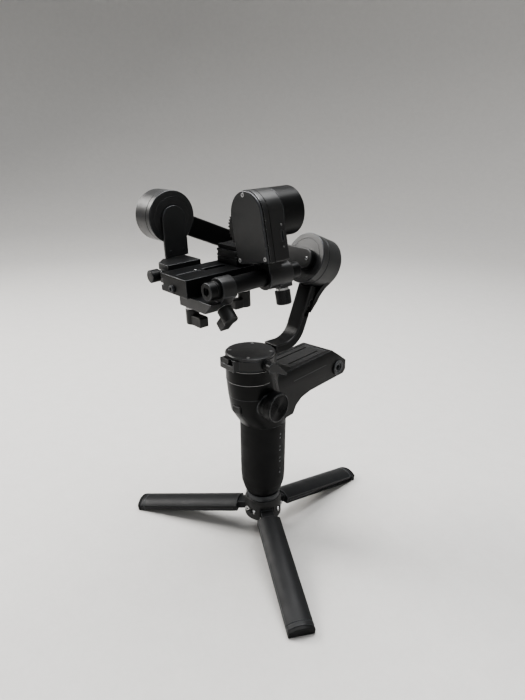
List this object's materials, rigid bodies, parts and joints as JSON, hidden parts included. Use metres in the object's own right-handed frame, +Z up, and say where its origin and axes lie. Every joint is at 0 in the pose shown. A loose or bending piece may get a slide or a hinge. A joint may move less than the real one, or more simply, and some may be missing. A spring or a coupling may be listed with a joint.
{
  "type": "camera gimbal stabilizer",
  "caption": "Handheld motorised camera stabilizer with pan, roll and tilt arms on a folding mini tripod, carrying a camera plate, a side rod and a lens servo.",
  "frame": {"origin": "centre of the bounding box of the whole object, on the ground plane that the three feet rest on", "axes": "+Z up, -Y towards the lens side of the handle, +X towards the side with the focus wheel"},
  "size_m": [0.2668, 0.2448, 0.3645],
  "materials": {
    "anodised_black": "satin black anodised aluminium with a very fine grain",
    "black_plastic": "matte moulded plastic",
    "black_rubber": "soft matte rubber",
    "grey_metal": "dark grey satin metal",
    "bright_steel": "bright machined steel",
    "copper_winding": "enamelled copper wire",
    "circuit_board": "green solder mask",
    "cell_wrap": "shrink wrap",
    "light_pipe": "clear moulded plastic"
  },
  "bodies": {
    "handle": {"tripod_hub": "black_plastic", "leg_pin_1": "bright_steel", "leg_pin_2": "bright_steel", "leg_pin_3": "bright_steel", "lock_ring": "grey_metal", "tripod_stud": "bright_steel", "grip_shell": "black_rubber", "tripod_socket": "bright_steel", "battery_cell_1": "cell_wrap", "battery_cell_2": "cell_wrap", "light_pipe": "light_pipe", "main_board": "circuit_board", "control_panel": "black_plastic", "head_shell": "anodised_black", "arm_cover": "black_plastic", "arm_boss": "grey_metal", "pan_winding": "copper_winding"},
    "leg_1": {"leg_1": "black_plastic", "foot_pad_1": "black_rubber"},
    "leg_2": {"leg_2": "black_plastic", "foot_pad_2": "black_rubber"},
    "leg_3": {"leg_3": "black_plastic", "foot_pad_3": "black_rubber"},
    "focus_wheel": {"focus_wheel": "anodised_black"},
    "front_trigger": {"front_trigger": "black_plastic"},
    "joystick": {"joystick": "black_rubber"},
    "button_1": {"button_1": "black_plastic"},
    "button_2": {"button_2": "black_plastic"},
    "pan_stage": {"pan_rotor": "anodised_black", "pan_cap": "anodised_black", "pan_arm": "anodised_black", "roll_housing": "anodised_black", "roll_winding": "copper_winding"},
    "lock_slider": {"lock_slider": "black_plastic"},
    "arm_lever": {"arm_lever": "anodised_black"},
    "roll_stage": {"roll_rotor": "anodised_black", "roll_arm": "anodised_black", "tilt_housing": "anodised_black", "tilt_winding": "copper_winding"},
    "tilt_stage": {"tilt_rotor": "anodised_black", "tilt_arm": "anodised_black", "clamp_block": "anodised_black"},
    "clamp_knob": {"clamp_knob": "anodised_black"},
    "camera_plate": {"base_plate": "anodised_black", "plate_bolt": "grey_metal", "riser": "anodised_black", "quick_plate": "anodised_black", "plate_pad": "black_rubber", "camera_screw": "bright_steel", "rod": "anodised_black", "rod_bracket": "anodised_black"},
    "plate_knob": {"plate_knob": "black_plastic"},
    "bracket_screw": {"bracket_screw": "black_plastic"},
    "rod_screw": {"rod_screw": "black_plastic"},
    "lens_servo": {"servo_clamp": "anodised_black", "servo_body": "black_plastic", "servo_cover": "anodised_black", "motor_can": "anodised_black"},
    "servo_gear": {"servo_gear": "black_plastic"},
    "servo_knob": {"servo_knob": "anodised_black"}
  },
  "joints": [
    {"name": "leg_1_fold", "type": "hinge", "parent": "handle", "child": "leg_1", "pos_m": [0.00771, -0.01309, 0.033], "axis": [-0.9949, 0.1011, 0], "range_deg": [0, 78]},
    {"name": "leg_2_fold", "type": "hinge", "parent": "handle", "child": "leg_2", "pos_m": [-0.00546, -0.03136, 0.033], "axis": [0.4099, -0.9121, 0], "range_deg": [0, 78]},
    {"name": "leg_3_fold", "type": "hinge", "parent": "handle", "child": "leg_3", "pos_m": [0.01694, -0.03363, 0.033], "axis": [0.585, 0.8111, 0], "range_deg": [0, 78]},
    {"name": "focus_wheel_turn", "type": "hinge", "parent": "handle", "child": "focus_wheel", "pos_m": [0.0064, -0.04203, 0.165], "axis": [1, 0, 0], "continuous": true},
    {"name": "trigger_press", "type": "slide", "parent": "handle", "child": "front_trigger", "axis": [0, 1, 0], "range_m": [0, 0.0012], "stiffness_N_per_m": 300, "springref_m": -0.001},
    {"name": "joystick_tilt", "type": "hinge", "parent": "handle", "child": "joystick", "pos_m": [0.0064, -0.01283, 0.126], "axis": [1, 0, 0], "range_deg": [-8, 8], "stiffness_Nm_per_rad": 0.03},
    {"name": "button_1_press", "type": "slide", "parent": "handle", "child": "button_1", "axis": [0, -1, 0], "range_m": [0, 0.0008], "stiffness_N_per_m": 400, "springref_m": -0.001},
    {"name": "button_2_press", "type": "slide", "parent": "handle", "child": "button_2", "axis": [0, -1, 0], "range_m": [0, 0.0008], "stiffness_N_per_m": 400, "springref_m": -0.001},
    {"name": "pan_turn", "type": "hinge", "parent": "handle", "child": "pan_stage", "pos_m": [0.0064, -0.04428, 0], "axis": [0, 0, 1], "continuous": true},
    {"name": "lock_slide", "type": "slide", "parent": "pan_stage", "child": "lock_slider", "axis": [0.988, -0.1547, 0], "range_m": [0, 0.006]},
    {"name": "lever_turn", "type": "hinge", "parent": "pan_stage", "child": "arm_lever", "pos_m": [0.00624, -0.04526, 0.2078], "axis": [0.988, -0.1547, 0], "range_deg": [-30, 60]},
    {"name": "roll_turn", "type": "hinge", "parent": "pan_stage", "child": "roll_stage", "pos_m": [0.0169, 0.02281, 0.2951], "axis": [-0.1439, -0.9192, 0.3665], "range_deg": [-150, 174]},
    {"name": "tilt_turn", "type": "hinge", "parent": "roll_stage", "child": "tilt_stage", "pos_m": [0.00152, -0.07546, 0.33428], "axis": [0.988, -0.1547, 0], "range_deg": [-135, 185]},
    {"name": "clamp_knob_turn", "type": "hinge", "parent": "tilt_stage", "child": "clamp_knob", "pos_m": [-0.06145, -0.08974, 0.28635], "axis": [0.1546, 0.9869, 0.0454], "continuous": true},
    {"name": "plate_slide", "type": "slide", "parent": "tilt_stage", "child": "camera_plate", "axis": [0.1546, 0.9869, 0.0454], "range_m": [-0.02, 0.008]},
    {"name": "plate_knob_turn", "type": "hinge", "parent": "camera_plate", "child": "plate_knob", "pos_m": [-0.01728, -0.02743, 0.27924], "axis": [-0.007, -0.0448, 0.999], "continuous": true},
    {"name": "bracket_screw_turn", "type": "hinge", "parent": "camera_plate", "child": "bracket_screw", "pos_m": [-0.01836, -0.0925, 0.26581], "axis": [-0.007, -0.0448, 0.999], "continuous": true},
    {"name": "rod_screw_turn", "type": "hinge", "parent": "camera_plate", "child": "rod_screw", "pos_m": [0.01577, -0.08787, 0.26926], "axis": [-0.7036, 0.0777, 0.7064], "continuous": true},
    {"name": "servo_slide", "type": "slide", "parent": "camera_plate", "child": "lens_servo", "axis": [0.1546, 0.9869, 0.0454], "range_m": [-0.02, 0.01]},
    {"name": "gear_turn", "type": "hinge", "parent": "lens_servo", "child": "servo_gear", "pos_m": [-0.00377, -0.07433, 0.32784], "axis": [0.1546, 0.9869, 0.0454], "continuous": true},
    {"name": "servo_knob_turn", "type": "hinge", "parent": "lens_servo", "child": "servo_knob", "pos_m": [0.02736, -0.02679, 0.2896], "axis": [-0.1785, -0.0173, 0.9838], "continuous": true}
  ]
}
